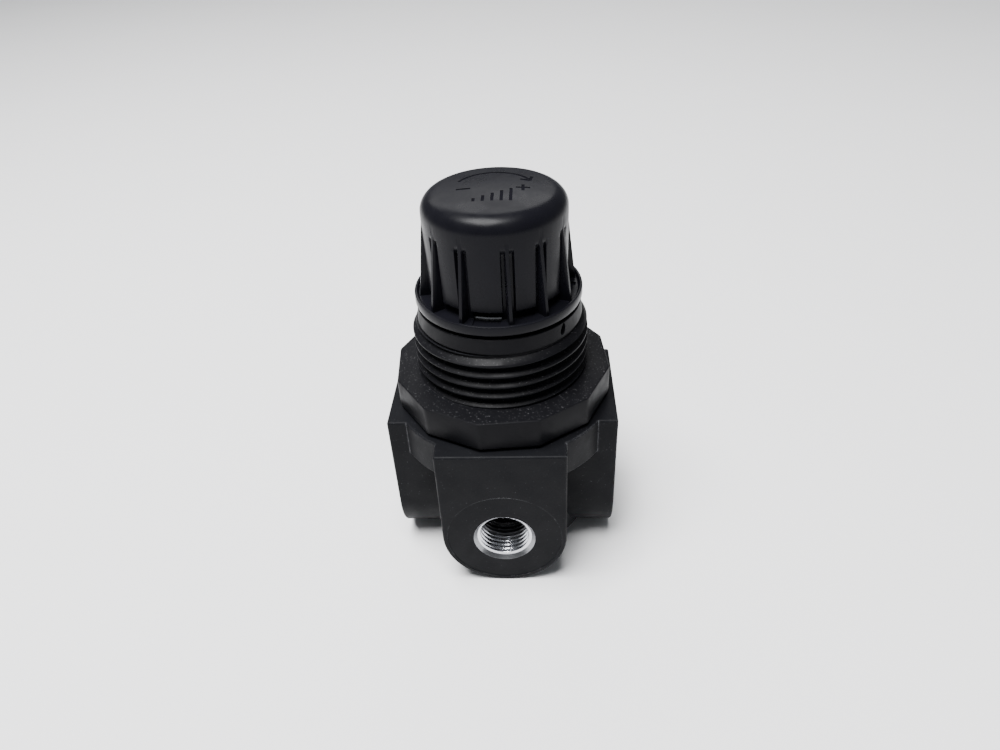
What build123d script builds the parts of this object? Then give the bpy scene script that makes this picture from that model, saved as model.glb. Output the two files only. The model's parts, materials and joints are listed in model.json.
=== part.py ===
from build123d import *
import math
import os

# Miniature relieving air pressure regulator, 1/4 inch main ports, 1/8 inch gauge ports.
# Millimetres. The origin is on the knob's axis at the bottom of the body, +Z points up
# through the knob, the inlet is at -X, the outlet at +X and the open gauge port at -Y.

os.makedirs("parts", exist_ok=True)

# ---------------------------------------------------------------- driving dimensions
# Body
body_width = 40.0  # across opposite port faces
lobe_width = 22.0
port_axis_z = lobe_width / 2
body_top_z = 30.5
rim_height = 7.0
rim_radius = 19.9
rim_edge_radius = 0.3
core_radius = 15.5
boss_radius = 12.5
foot_height = 4.0
casting_edge_radius = 0.4
main_port_radius = 6.58  # 1/4 inch parallel pipe thread, major radius
gauge_port_radius = 4.86  # 1/8 inch parallel pipe thread, major radius
port_depth = 10.4
main_port_chamfer = 0.8
gauge_port_chamfer = 0.6
spotface_radius = 10.2  # machined flat round each port, for a sealing washer
spotface_depth = 0.1
riser_setback = 0.7  # how far a riser's centre lies outside its port's inner end

# Chambers inside the body, from the bottom up
plug_bore_radius = 8.0
plug_bore_top_z = 5.6
valve_chamber_radius = 7.0
valve_chamber_top_z = 14.0
seat_radius = 5.0
seat_top_z = 16.4
seat_bore_radius = 3.0
outlet_bore_radius = 3.4
chamber_floor_z = 21.0
chamber_radius = 13.0
ledge_z = 25.4
bonnet_thread_radius = 16.4
thread_relief = 0.6
gauge_riser_radius = 1.8
main_riser_radius = 2.2
inlet_hole_radius = 3.0
inlet_hole_length = 6.0
inlet_hole_z = port_axis_z - 1.8

# Bottom plug
plug_head_radius = 9.4
plug_head_top_z = 1.6
plug_head_bottom_z = 0.2
plug_ring_z = 3.4
plug_ring_section = 0.5
plug_slot_width = 1.6
plug_slot_depth = 0.8
guide_bore_bottom_z = 2.0
guide_boss_radius = 3.6

# Bonnet
flange_across_flats = 37.0
flange_bottom_z = body_top_z + 0.6
flange_top_z = body_top_z + 6.0
flange_turn_deg = 20.0
flange_edge_chamfer = 0.35
neck_radius = 15.0  # M30 panel thread, major radius
neck_top_z = 46.2
collar_bottom_radius = 14.0
collar_top_radius = 13.75
collar_top_z = 49.15
spring_bore_radius = 11.6
web_bottom_z = 45.4
web_top_z = 47.4
hub_radius = 9.7
hub_head_radius = 10.2
hub_head_z = 52.95
hub_top_z = 54.0
hub_pocket_radius = 8.4

# Knob
knob_ring_radius = 14.0
knob_bottom_z = 49.95
knob_floor_z = 51.0
knob_lip_z = 51.6
pad_bottom_z = 52.6
pad_bottom_radius = 11.5
rib_bottom_radius = 13.0
knob_core_radius = 10.95
knob_core_top_z = 62.4
cap_bottom_z = 63.8
cap_radius = 11.65
cap_edge_z = 65.3
cap_edge_radius = 3.0
cap_crown = 0.5
knob_top_z = 68.5
knob_bore_radius = 10.4
knob_bore_cone_z = 55.0
first_window_deg = -96.6

# Lock between knob and bonnet
lock_teeth = 24
lock_inner_radius = 11.9
lock_outer_radius = 12.9
lock_tooth_top_z = 49.70
lock_pocket_z = 50.5
lock_play_deg = 0.6

# Adjusting screw and nut
screw_radius = 4.0
screw_bottom_z = 31.5
nut_top_z = 43.4
nut_height = 4.0
thrust_bottom_z = 43.6
washer_bottom_z = 44.92
drive_hex_flats = 7.0
drive_bottom_z = 48.0
drive_top_z = 60.0

# Range spring and diaphragm stack
plate_bottom_z = 26.4
plate_top_z = 28.2
spring_mean_radius = 8.3
spring_wire = 1.4
spring_turns = 3.75
membrane_thickness = 0.6
diaphragm_washer_bottom_z = 25.2
relief_seat_bottom_z = 24.4

# Valve
stem_radius = 1.2
stem_top_z = relief_seat_bottom_z - 0.02
seat_nose_z = 13.5
valve_disc_top_z = seat_nose_z - 0.02
poppet_shoulder_z = 10.6
guide_radius = 2.5
guide_bore_radius = 2.56
valve_spring_mean_radius = 4.3
valve_spring_wire = 0.6
valve_spring_turns = 4.0
plug_shank_top_z = 5.4
plug_boss_top_z = 8.2

running_clearance = 0.06
wedge_reach = 20.0  # any radius beyond the knob, for the wedges that cut pads, ribs and pockets


# ---------------------------------------------------------------- small helpers
def tube(outer, inner, bottom, top):
    """A round sleeve about the main axis."""
    ring = Circle(outer) - Circle(inner)
    return extrude(Pos(0, 0, bottom) * ring, amount=top - bottom)


def disc(radius, bottom, top):
    """A round plate about the main axis."""
    return extrude(Pos(0, 0, bottom) * Circle(radius), amount=top - bottom)


def cone(bottom_radius, top_radius, bottom, top):
    """A tapered plug about the main axis."""
    outline = Polyline(
        (0, 0, bottom),
        (bottom_radius, 0, bottom),
        (top_radius, 0, top),
        (0, 0, top),
        close=True,
    )
    return revolve(make_face(outline), Axis.Z)


def turned(points):
    """A solid turned about the main axis from a closed outline of (radius, height) points."""
    outline = Polyline(*[(radius, 0, height) for radius, height in points], close=True)
    return revolve(make_face(outline), Axis.Z)


def around(shape, count, phase_deg=0.0):
    """Copies of one feature, evenly spaced about the main axis."""
    step = 360.0 / count
    return [Rot(0, 0, phase_deg + k * step) * shape for k in range(count)]


def sector(radius, half_angle_deg, bottom, top):
    """A wedge that opens along +X, used to cut one pad or tooth from a turned shape."""
    reach = radius / math.cos(math.radians(half_angle_deg))
    half = math.radians(half_angle_deg)
    corner_x = reach * math.cos(half)
    corner_y = reach * math.sin(half)
    triangle = make_face(Polyline((0, 0), (corner_x, -corner_y), (corner_x, corner_y), close=True))
    return extrude(Pos(0, 0, bottom) * triangle, amount=top - bottom)


def hexagon_bar(flats, bottom, top):
    """A hexagonal bar about the main axis."""
    return extrude(Pos(0, 0, bottom) * RegularPolygon(flats / math.sqrt(3), 6), amount=top - bottom)


def coil_spring(mean_radius, wire, turns, bottom, top):
    """A coil spring whose wire just touches the two planes that it presses against."""
    height = top - bottom - wire
    path = Pos(0, 0, bottom + wire / 2) * Helix(height / turns, height, mean_radius)
    section = Plane(path @ 0, z_dir=path % 0) * Circle(wire / 2 - 0.01)
    return sweep(section, path=path, is_frenet=True)


def o_ring(mean_radius, section_radius, height):
    """An O-ring lying flat."""
    return Pos(0, 0, height) * Torus(mean_radius, section_radius)


# ---------------------------------------------------------------- body
def lobe_bar():
    """A straight bar with a round underside that ends in two opposite port faces."""
    upright = Rectangle(lobe_width, body_top_z - port_axis_z, align=(Align.CENTER, Align.MIN))
    profile = Pos(0, port_axis_z) * (Circle(lobe_width / 2) + upright)
    return extrude(Plane.XZ * profile, amount=body_width / 2, both=True)


def rounded_lobe_bar():
    """The lobe bar with the edges of its port faces and its long top edges rounded."""
    bar = lobe_bar()
    port_faces = [face for face in bar.faces() if abs(face.center().Y) > body_width / 2 - 0.01]
    edges = ShapeList([edge for face in port_faces for edge in face.edges()])
    for edge in bar.edges():
        middle = edge.center()
        if middle.Z > body_top_z - 0.01 and abs(middle.Y) < 0.01:
            edges.append(edge)
    return fillet(edges, casting_edge_radius)


def port_bore(radius, mouth_chamfer):
    """A tapped port that opens at -Y, with its mouth chamfer and spotface, ready to turn to any side."""
    face = body_width / 2
    seat = face - spotface_depth
    points = [
        (0, face - port_depth),
        (radius, face - port_depth),
        (radius, seat - mouth_chamfer),
        (radius + mouth_chamfer, seat),
        (spotface_radius, seat),
        (spotface_radius, face),
        (0, face),
    ]
    outline = make_face(Polyline(*[(r, 0, h) for r, h in points], close=True))
    return Pos(0, 0, port_axis_z) * Rot(90, 0, 0) * revolve(outline, Axis.Z)


def riser(distance, radius):
    """An upright passage from a port to the chamber under the diaphragm, placed at -Y."""
    return Pos(0, -distance, 0) * disc(radius, port_axis_z, chamber_floor_z)


def make_body():
    """The die-cast body: four port lobes around a round core and a round top rim."""
    bar = rounded_lobe_bar()
    rim = disc(rim_radius, body_top_z - rim_height, body_top_z)
    rim = fillet(rim.edges(), rim_edge_radius)
    core = disc(core_radius, foot_height - 1.0, body_top_z)
    core = fillet(core.edges().sort_by(Axis.Z)[0], casting_edge_radius)
    foot = disc(boss_radius, 0, foot_height)
    foot = fillet(foot.edges().sort_by(Axis.Z)[0], casting_edge_radius)
    shell = bar + Rot(0, 0, 90) * bar + rim + core + foot

    mouth_radius = bonnet_thread_radius + thread_relief
    mouth = cone(bonnet_thread_radius, mouth_radius, body_top_z - thread_relief, body_top_z)
    cavity = disc(bonnet_thread_radius, ledge_z, body_top_z) + mouth
    cavity += disc(chamber_radius, chamber_floor_z, ledge_z)
    cavity += disc(outlet_bore_radius, seat_top_z, chamber_floor_z)
    cavity += disc(seat_radius, valve_chamber_top_z, seat_top_z)
    cavity += disc(valve_chamber_radius, plug_bore_top_z, valve_chamber_top_z)
    cavity += disc(plug_bore_radius, 0, plug_bore_top_z)
    cavity += disc(plug_head_radius + 0.1, 0, plug_head_top_z)

    gauge_port = port_bore(gauge_port_radius, gauge_port_chamfer)
    main_port = port_bore(main_port_radius, main_port_chamfer)
    riser_distance = body_width / 2 - port_depth + riser_setback
    inlet_hole = Cylinder(inlet_hole_radius, inlet_hole_length)
    inlet_hole = Pos(-valve_chamber_radius, 0, inlet_hole_z) * Rot(0, 90, 0) * inlet_hole

    shell -= cavity
    shell -= gauge_port + Rot(0, 0, 180) * gauge_port
    shell -= Rot(0, 0, 90) * main_port + Rot(0, 0, -90) * main_port
    gauge_riser = riser(riser_distance, gauge_riser_radius)
    shell -= gauge_riser + Rot(0, 0, 180) * gauge_riser
    shell -= Rot(0, 0, 90) * riser(riser_distance, main_riser_radius)
    return shell - inlet_hole


# ---------------------------------------------------------------- bottom plug
def make_bottom_plug():
    """The screwed plug that closes the valve chamber and guides the poppet."""
    plug = disc(plug_head_radius, plug_head_bottom_z, plug_head_top_z)
    plug += disc(plug_bore_radius, plug_head_top_z, plug_shank_top_z)
    plug += disc(guide_boss_radius, plug_shank_top_z, plug_boss_top_z)
    plug -= disc(guide_bore_radius, guide_bore_bottom_z, plug_boss_top_z)
    groove_floor = plug_bore_radius - 2 * plug_ring_section
    plug -= tube(
        plug_bore_radius, groove_floor, plug_ring_z - plug_ring_section, plug_ring_z + plug_ring_section
    )
    base = (Align.CENTER, Align.CENTER, Align.MIN)
    slot = Box(2 * plug_head_radius, plug_slot_width, plug_slot_depth, align=base)
    return plug - Pos(0, 0, plug_head_bottom_z) * slot


def make_bottom_plug_o_ring():
    """The seal between the bottom plug and the body."""
    return o_ring(plug_bore_radius - plug_ring_section, plug_ring_section, plug_ring_z)


# ---------------------------------------------------------------- valve
poppet_cup_radius = 4.9
valve_disc_radius = 4.2
poppet_cup_floor_z = 12.28
poppet_cup_lip_z = 12.9
guide_bottom_z = 4.6
guide_ring_z = 6.5
guide_ring_section = 0.42
guide_ring_radius = 2.12
stem_bottom_z = 8.6


def make_valve_seat():
    """The brass seat ring pressed into the web between the two chambers."""
    ring = tube(seat_radius, seat_bore_radius, valve_chamber_top_z, seat_top_z)
    return ring + tube(seat_bore_radius + 0.7, seat_bore_radius, seat_nose_z, valve_chamber_top_z)


def make_valve_disc():
    """The rubber face that closes against the seat's nose."""
    return tube(valve_disc_radius, stem_radius, poppet_cup_floor_z, valve_disc_top_z)


def make_valve_poppet():
    """The brass poppet: a cup for the rubber disc above a guide that slides in the bottom plug."""
    poppet = disc(poppet_cup_radius, poppet_shoulder_z, poppet_cup_lip_z)
    poppet -= disc(valve_disc_radius, poppet_cup_floor_z, poppet_cup_lip_z)
    poppet += disc(guide_radius, guide_bottom_z, poppet_shoulder_z)
    poppet -= disc(stem_radius, stem_bottom_z, poppet_cup_lip_z)
    groove_floor = guide_ring_radius - guide_ring_section
    return poppet - tube(
        guide_radius, groove_floor, guide_ring_z - guide_ring_section, guide_ring_z + guide_ring_section
    )


def make_valve_stem():
    """The steel stem: its rounded tip closes the relief hole in the diaphragm."""
    stem = disc(stem_radius, stem_bottom_z, stem_top_z)
    return fillet(stem.edges().sort_by(Axis.Z)[-1], 0.3)


def make_guide_o_ring():
    """The small seal on the poppet's guide."""
    return o_ring(guide_ring_radius, guide_ring_section, guide_ring_z)


def make_valve_spring():
    """The light spring that closes the poppet."""
    return coil_spring(
        valve_spring_mean_radius, valve_spring_wire, valve_spring_turns, plug_shank_top_z, poppet_shoulder_z
    )


# ---------------------------------------------------------------- diaphragm stack
clamp_inner_radius = 13.2
clamp_outer_radius = 16.3
relief_hole_radius = 0.8
relief_shank_radius = 2.9
relief_flange_radius = 4.6
backing_washer_radius = 8.5
slip_ring_top_z = plate_bottom_z + 0.5
plate_radius = 9.8
pilot_height = 1.6
pilot_radius = spring_mean_radius - spring_wire / 2 - 0.3


def make_diaphragm():
    """The rubber diaphragm: a thin membrane with a thicker rim that is clamped all round."""
    rim = tube(clamp_outer_radius, clamp_inner_radius, ledge_z, plate_bottom_z)
    web_bottom = plate_bottom_z - membrane_thickness
    return rim + tube(clamp_inner_radius, relief_shank_radius, web_bottom, plate_bottom_z)


def make_slip_ring():
    """The thin ring that lets the bonnet turn on the diaphragm's rim while it is tightened."""
    return tube(clamp_outer_radius, clamp_inner_radius + 0.3, plate_bottom_z, slip_ring_top_z)


def make_diaphragm_plate():
    """The lower spring seat, with a low wall that centres the range spring."""
    plate = tube(plate_radius, relief_shank_radius, plate_bottom_z, plate_top_z)
    wall_inner_radius = relief_shank_radius + 1.6
    return plate + tube(pilot_radius, wall_inner_radius, plate_top_z, plate_top_z + pilot_height)


def make_diaphragm_washer():
    """The backing washer under the membrane."""
    top = plate_bottom_z - membrane_thickness
    return tube(backing_washer_radius, relief_shank_radius, diaphragm_washer_bottom_z, top)


def make_relief_seat():
    """The hollow brass rivet that holds the stack together and carries the relief hole."""
    head_top_z = plate_top_z + 0.6
    rivet = disc(relief_flange_radius, relief_seat_bottom_z, diaphragm_washer_bottom_z)
    rivet += disc(relief_shank_radius, diaphragm_washer_bottom_z, plate_top_z)
    rivet += disc(relief_shank_radius + 0.8, plate_top_z, head_top_z)
    return rivet - disc(relief_hole_radius, relief_seat_bottom_z, head_top_z)


# ---------------------------------------------------------------- adjustment
nut_core_radius = 11.3
nut_key_radius = 12.4
nut_key_width = 2.6
keyway_radius = 12.7
keyway_width = 3.0
key_count = 4
first_key_deg = 45
nut_bottom_z = nut_top_z - nut_height
thrust_radius = 7.5
washer_radius = 7.8


def make_range_spring():
    """The main spring between the adjusting nut and the diaphragm plate."""
    return coil_spring(spring_mean_radius, spring_wire, spring_turns, plate_top_z, nut_bottom_z)


def make_adjusting_nut():
    """The upper spring seat: a nut that slides without turning, on four keys."""
    nut = disc(nut_core_radius, nut_bottom_z, nut_top_z)
    key = Box(nut_key_radius, nut_key_width, nut_height, align=(Align.MIN, Align.CENTER, Align.MIN))
    nut += around(Pos(0, 0, nut_bottom_z) * key, key_count, first_key_deg)
    pilot_bottom_z = nut_bottom_z - pilot_height
    nut += disc(pilot_radius, pilot_bottom_z, nut_bottom_z)
    return nut - disc(screw_radius + running_clearance, pilot_bottom_z, nut_top_z)


def make_adjusting_screw():
    """The non-rising screw, with a thrust collar and a hexagon that drives from the knob."""
    screw = disc(screw_radius, screw_bottom_z, drive_bottom_z)
    screw = chamfer(screw.edges().sort_by(Axis.Z)[0], 0.6)
    screw += disc(thrust_radius, thrust_bottom_z, washer_bottom_z)
    drive = hexagon_bar(drive_hex_flats, drive_bottom_z, drive_top_z)
    return screw + drive


def make_thrust_washer():
    """The low-friction washer between the screw's collar and the bonnet's web."""
    return tube(washer_radius, screw_radius + 0.2, washer_bottom_z + 0.02, web_bottom_z)


# ---------------------------------------------------------------- bonnet
vent_width = 1.1
vent_height = 1.9
vent_z = 48.0
vent_azimuth_deg = -40.5
web_vent_distance = 8.3
web_vent_radius = 0.6
skirt_bore_radius = clamp_inner_radius + 0.3
skirt_bore_top_z = 29.4
skirt_cone_top_z = 31.3


def make_bonnet():
    """The bonnet: a twelve-sided flange, a panel-mounting neck, a collar and the knob's hub."""
    corner_radius = flange_across_flats / 2 / math.cos(math.radians(15))
    flange = extrude(
        Pos(0, 0, flange_bottom_z) * RegularPolygon(corner_radius, 12, rotation=flange_turn_deg),
        amount=flange_top_z - flange_bottom_z,
    )
    flange = chamfer(flange.edges().group_by(Axis.Z)[-1], flange_edge_chamfer)
    outside = turned(
        [
            (0, slip_ring_top_z),
            (bonnet_thread_radius, slip_ring_top_z),
            (bonnet_thread_radius, flange_top_z - 1.0),
            (neck_radius + 0.5, flange_top_z),
            (neck_radius, flange_top_z + 0.5),
            (neck_radius, neck_top_z - 1.2),
            (neck_radius - 0.8, neck_top_z),
            (collar_bottom_radius - 0.3, neck_top_z),
            (collar_bottom_radius - 0.3, neck_top_z + 0.3),
            (collar_bottom_radius, neck_top_z + 0.4),
            (collar_top_radius, collar_top_z),
            (hub_radius, collar_top_z),
            (hub_radius, hub_head_z),
            (hub_head_radius, hub_head_z),
            (hub_head_radius - 0.3, hub_top_z),
            (0, hub_top_z),
        ]
    )
    teeth_ring = tube(lock_outer_radius, lock_inner_radius, collar_top_z, lock_tooth_top_z)
    tooth_cut = sector(wedge_reach, 360 / lock_teeth / 4 - lock_play_deg, collar_top_z, lock_tooth_top_z)
    teeth = [teeth_ring & cut for cut in around(tooth_cut, lock_teeth)]
    bonnet = flange + outside + teeth

    cavity = disc(skirt_bore_radius, slip_ring_top_z, skirt_bore_top_z)
    cavity += cone(skirt_bore_radius, spring_bore_radius, skirt_bore_top_z, skirt_cone_top_z)
    cavity += disc(spring_bore_radius, skirt_bore_top_z, web_bottom_z)
    keyway_length = web_bottom_z - skirt_bore_top_z
    keyway = Box(keyway_radius, keyway_width, keyway_length, align=(Align.MIN, Align.CENTER, Align.MIN))
    cavity += around(Pos(0, 0, skirt_bore_top_z) * keyway, key_count, first_key_deg)
    bonnet -= cavity
    bonnet -= disc(screw_radius + running_clearance, web_bottom_z, web_top_z)
    bonnet -= disc(hub_pocket_radius, web_top_z, hub_top_z)
    bonnet -= around(Pos(web_vent_distance, 0, 0) * disc(web_vent_radius, web_bottom_z, web_top_z), 4)
    slot = Plane.YZ * Pos(0, vent_z) * Rot(0, 0, 90) * SlotOverall(vent_height, vent_width)
    vent = extrude(slot, amount=neck_radius)
    return bonnet - Rot(0, 0, vent_azimuth_deg) * vent


# ---------------------------------------------------------------- knob
# The grip repeats every quarter turn: a wide pad over a window, then two narrower pads,
# with a rib between each pair of pads. Angles are measured from the middle of the wide pad.
grip_repeats = 4
wide_pad_half_deg = 12.85
narrow_pad_deg = 31.35
narrow_pad_half_deg = 8.8
side_rib_deg = 17.7
middle_rib_deg = 45.0
rib_half_angle_deg = 1.65
knob_hub_radius = 6.6
socket_top_z = 61.5
ceiling_z = 65.4
window_width = 4.4
window_height = 1.8
window_inner_x = 9.4
window_outer_x = 12.8
ring_wire_radius = 0.45
ring_wire_z = 50.95
ring_mean_radius = 10.2
ring_gap = 2.5


def make_knob():
    """The push-to-lock knob: a domed cap over twelve pads and twelve ribs, and a ring at the bottom."""
    shoulder_radius = cap_radius - cap_edge_radius
    shoulder_z = knob_top_z - cap_crown
    side = Polyline(
        (0, 0, knob_top_z),
        (0, 0, knob_bottom_z),
        (knob_core_radius, 0, knob_bottom_z),
        (knob_core_radius, 0, knob_core_top_z),
        (cap_radius, 0, cap_bottom_z),
        (cap_radius, 0, cap_edge_z),
    )
    edge_middle_z = cap_edge_z + 0.68 * (shoulder_z - cap_edge_z)
    edge = ThreePointArc(
        (cap_radius, 0, cap_edge_z),
        (cap_radius - 0.29 * cap_edge_radius, 0, edge_middle_z),
        (shoulder_radius, 0, shoulder_z),
    )
    crown_radius = (shoulder_radius**2 + cap_crown**2) / (2 * cap_crown)
    crown_middle_drop = crown_radius - math.sqrt(crown_radius**2 - (shoulder_radius / 2) ** 2)
    crown = ThreePointArc(
        (shoulder_radius, 0, shoulder_z),
        (shoulder_radius / 2, 0, knob_top_z - crown_middle_drop),
        (0, 0, knob_top_z),
    )
    cap = make_face([*side.edges(), edge, crown])
    knob = revolve(cap, Axis.Z)
    ring = turned(
        [
            (0, knob_bottom_z),
            (knob_ring_radius, knob_bottom_z),
            (knob_ring_radius, knob_lip_z - 0.2),
            (knob_ring_radius - 0.2, knob_lip_z),
            (knob_ring_radius - 0.5, knob_lip_z),
            (knob_ring_radius - 0.7, knob_floor_z),
            (0, knob_floor_z),
        ]
    )
    pad_cone = cone(pad_bottom_radius, cap_radius, pad_bottom_z, cap_bottom_z)
    rib_cone = cone(rib_bottom_radius, cap_radius, knob_floor_z, cap_bottom_z)
    wide_pad = pad_cone & sector(wedge_reach, wide_pad_half_deg, pad_bottom_z, cap_bottom_z)
    narrow_pad = pad_cone & sector(wedge_reach, narrow_pad_half_deg, pad_bottom_z, cap_bottom_z)
    rib = rib_cone & sector(wedge_reach, rib_half_angle_deg, knob_floor_z, cap_bottom_z)
    knob += ring
    knob += around(wide_pad, grip_repeats, first_window_deg)
    for offset in (-narrow_pad_deg, narrow_pad_deg):
        knob += around(narrow_pad, grip_repeats, first_window_deg + offset)
    for offset in (-side_rib_deg, side_rib_deg, middle_rib_deg):
        knob += around(rib, grip_repeats, first_window_deg + offset)

    knob -= disc(knob_bore_radius, knob_bottom_z, knob_bore_cone_z)
    knob -= cone(knob_bore_radius, knob_bore_radius - 1.2, knob_bore_cone_z, ceiling_z)
    knob += disc(knob_hub_radius, knob_bottom_z + 0.25, ceiling_z + 0.5)
    knob -= hexagon_bar(drive_hex_flats + 2 * running_clearance, knob_bottom_z + 0.25, socket_top_z)

    pocket = tube(lock_outer_radius + 0.1, lock_inner_radius - 0.1, knob_bottom_z, lock_pocket_z)
    pocket_cut = sector(wedge_reach, 360 / lock_teeth / 4 + lock_play_deg, knob_bottom_z, lock_pocket_z)
    knob -= [pocket & cut for cut in around(pocket_cut, lock_teeth)]

    knob -= o_ring(ring_mean_radius, ring_wire_radius, ring_wire_z)
    window_depth = window_outer_x - window_inner_x
    window = Box(window_depth, window_width, window_height, align=(Align.MIN, Align.CENTER, Align.MIN))
    window_z = pad_bottom_z - 0.1 - window_height
    knob -= around(Pos(window_inner_x, 0, window_z) * window, grip_repeats, first_window_deg)
    return knob


def make_knob_retaining_ring():
    """The split wire ring that keeps the knob on the bonnet's hub."""
    block = 4 * ring_wire_radius
    gap = Box(block, ring_gap, block)
    wire = o_ring(ring_mean_radius, ring_wire_radius, ring_wire_z)
    return wire - Pos(ring_mean_radius, 0, ring_wire_z) * gap


# ---------------------------------------------------------------- rear gauge port plug
plug_length = 8.0
plug_edge_chamfer = 0.4
plug_socket_flats = 5.0
plug_socket_depth = 4.5
plug_recess = 0.7  # how far the plug sits inside the port face


def make_gauge_port_plug():
    """The hexagon-socket plug in the unused gauge port at the back."""
    plug = disc(gauge_port_radius, 0, plug_length)
    plug = chamfer(plug.edges(), plug_edge_chamfer)
    plug -= hexagon_bar(plug_socket_flats, plug_length - plug_socket_depth, plug_length)
    return Pos(0, body_width / 2 - plug_length - plug_recess, port_axis_z) * Rot(-90, 0, 0) * plug


# ---------------------------------------------------------------- write every node
nodes = {
    "body": make_body(),
    "bonnet": make_bonnet(),
    "knob": make_knob(),
    "knob_retaining_ring": make_knob_retaining_ring(),
    "adjusting_screw": make_adjusting_screw(),
    "thrust_washer": make_thrust_washer(),
    "adjusting_nut": make_adjusting_nut(),
    "range_spring": make_range_spring(),
    "diaphragm_plate": make_diaphragm_plate(),
    "diaphragm": make_diaphragm(),
    "diaphragm_washer": make_diaphragm_washer(),
    "relief_seat": make_relief_seat(),
    "slip_ring": make_slip_ring(),
    "valve_seat": make_valve_seat(),
    "valve_disc": make_valve_disc(),
    "valve_poppet": make_valve_poppet(),
    "valve_stem": make_valve_stem(),
    "guide_o_ring": make_guide_o_ring(),
    "valve_spring": make_valve_spring(),
    "bottom_plug": make_bottom_plug(),
    "bottom_plug_o_ring": make_bottom_plug_o_ring(),
    "gauge_port_plug": make_gauge_port_plug(),
}

for name, shape in nodes.items():
    export_step(shape, f"parts/{name}.step")
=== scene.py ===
import json
import math

import bmesh
import bpy
from mathutils import Matrix, Vector
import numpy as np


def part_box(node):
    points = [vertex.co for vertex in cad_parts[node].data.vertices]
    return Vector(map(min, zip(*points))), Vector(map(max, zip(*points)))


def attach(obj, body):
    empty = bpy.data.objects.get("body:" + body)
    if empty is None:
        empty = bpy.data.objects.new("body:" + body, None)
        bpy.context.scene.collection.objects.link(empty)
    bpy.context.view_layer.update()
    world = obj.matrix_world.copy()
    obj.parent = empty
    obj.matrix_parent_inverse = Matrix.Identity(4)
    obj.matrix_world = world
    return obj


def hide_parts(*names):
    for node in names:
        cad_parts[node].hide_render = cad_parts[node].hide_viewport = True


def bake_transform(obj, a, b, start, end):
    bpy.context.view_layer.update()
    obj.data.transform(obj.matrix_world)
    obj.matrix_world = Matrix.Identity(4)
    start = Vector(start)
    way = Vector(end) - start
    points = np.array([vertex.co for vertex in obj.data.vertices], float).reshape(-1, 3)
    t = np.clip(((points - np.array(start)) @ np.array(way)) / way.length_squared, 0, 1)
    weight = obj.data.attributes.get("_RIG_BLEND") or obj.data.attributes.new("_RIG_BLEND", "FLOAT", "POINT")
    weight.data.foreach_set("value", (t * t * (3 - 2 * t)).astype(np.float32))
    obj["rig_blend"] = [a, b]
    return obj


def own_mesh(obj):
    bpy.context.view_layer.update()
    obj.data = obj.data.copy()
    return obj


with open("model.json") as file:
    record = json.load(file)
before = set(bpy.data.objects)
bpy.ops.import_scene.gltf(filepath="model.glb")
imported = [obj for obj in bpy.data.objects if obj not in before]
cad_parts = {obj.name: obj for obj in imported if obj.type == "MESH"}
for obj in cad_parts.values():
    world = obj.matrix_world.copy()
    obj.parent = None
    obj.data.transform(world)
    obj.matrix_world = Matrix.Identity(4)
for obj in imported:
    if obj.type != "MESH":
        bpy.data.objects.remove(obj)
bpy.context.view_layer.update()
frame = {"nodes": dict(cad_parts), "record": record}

# Miniature air pressure regulator. Lengths in this script are millimetres unless a name says
# otherwise, and turn into metres where a mesh is finished. Angles are degrees about the knob's
# axis: 0 is the outlet side (+X), -90 the open gauge port (-Y).

MM = 0.001


def extent(node):
    """Lowest and highest corner of a CAD node, in millimetres."""
    low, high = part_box(node)
    return low / MM, high / MM


body_high = extent("body")[1]
bonnet_low, bonnet_high = extent("bonnet")
knob_low, knob_high = extent("knob")
diaphragm_low, diaphragm_high = extent("diaphragm")
mounts = {mount["name"]: mount for mount in frame["record"]["mounts"]}

# ---------------------------------------------------------------- driving dimensions
gauge_port = mounts["front_gauge_port"]
gauge_radius = gauge_port["dims"]["r_mm"]
main_radius = mounts["inlet_port"]["dims"]["r_mm"]
port_axis_z = gauge_port["pos_m"][2] / MM
port_face = body_high.x
port_depth = 10.4
spotface_depth = 0.1
gauge_mouth_radius = gauge_radius + 0.61
main_mouth_radius = main_radius + 0.81
bare_from = port_face - 1.4  # outside this the cutter left bare metal in a port's mouth

neck_radius = mounts["panel_neck"]["dims"]["r_mm"]
neck_top = 46.2
thread_pitch = 2.05
thread_depth = 1.25
crest_z_at_front = 42.9
flange_bottom = body_high.z + 0.6
flange_top = body_high.z + 6.0
flange_apothem = 18.5
flange_corner_deg = 20.0
collar_top = 49.15

lock_tooth_count = 24
lock_pitch_deg = 360.0 / lock_tooth_count
lock_depth = 0.55
lock_flank_deg = 0.2
lock_tooth_half_deg = 3.2  # on the bonnet's collar
lock_pocket_half_deg = 4.4  # in the knob's rim

quarters = 4  # the knob's grip repeats every quarter turn
grip_repeat_deg = 360.0 / quarters
first_window_deg = -96.6
rib_offsets_deg = (-45.0, -17.7, 17.7, 45.0)
rib_half_deg = 1.65
pad_start_deg = 4.85  # from the middle of the nearest rib
cap_crown = 0.5
cap_shoulder_radius = 8.65


# ---------------------------------------------------------------- mesh tools
def smoothstep(low, high, value):
    """0 below low, 1 above high, smooth between; low may be the larger of the two."""
    share = min(max((value - low) / (high - low), 0.0), 1.0)
    return share * share * (3 - 2 * share)


def polar(angle_deg, radius, z=0.0):
    """A point at an angle about the main axis."""
    angle = math.radians(angle_deg)
    return Vector((radius * math.cos(angle), radius * math.sin(angle), z))


def even_angles(count, start=0.0):
    """Angles evenly spaced round the axis."""
    return [start + 360.0 * k / count for k in range(count)]


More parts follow.
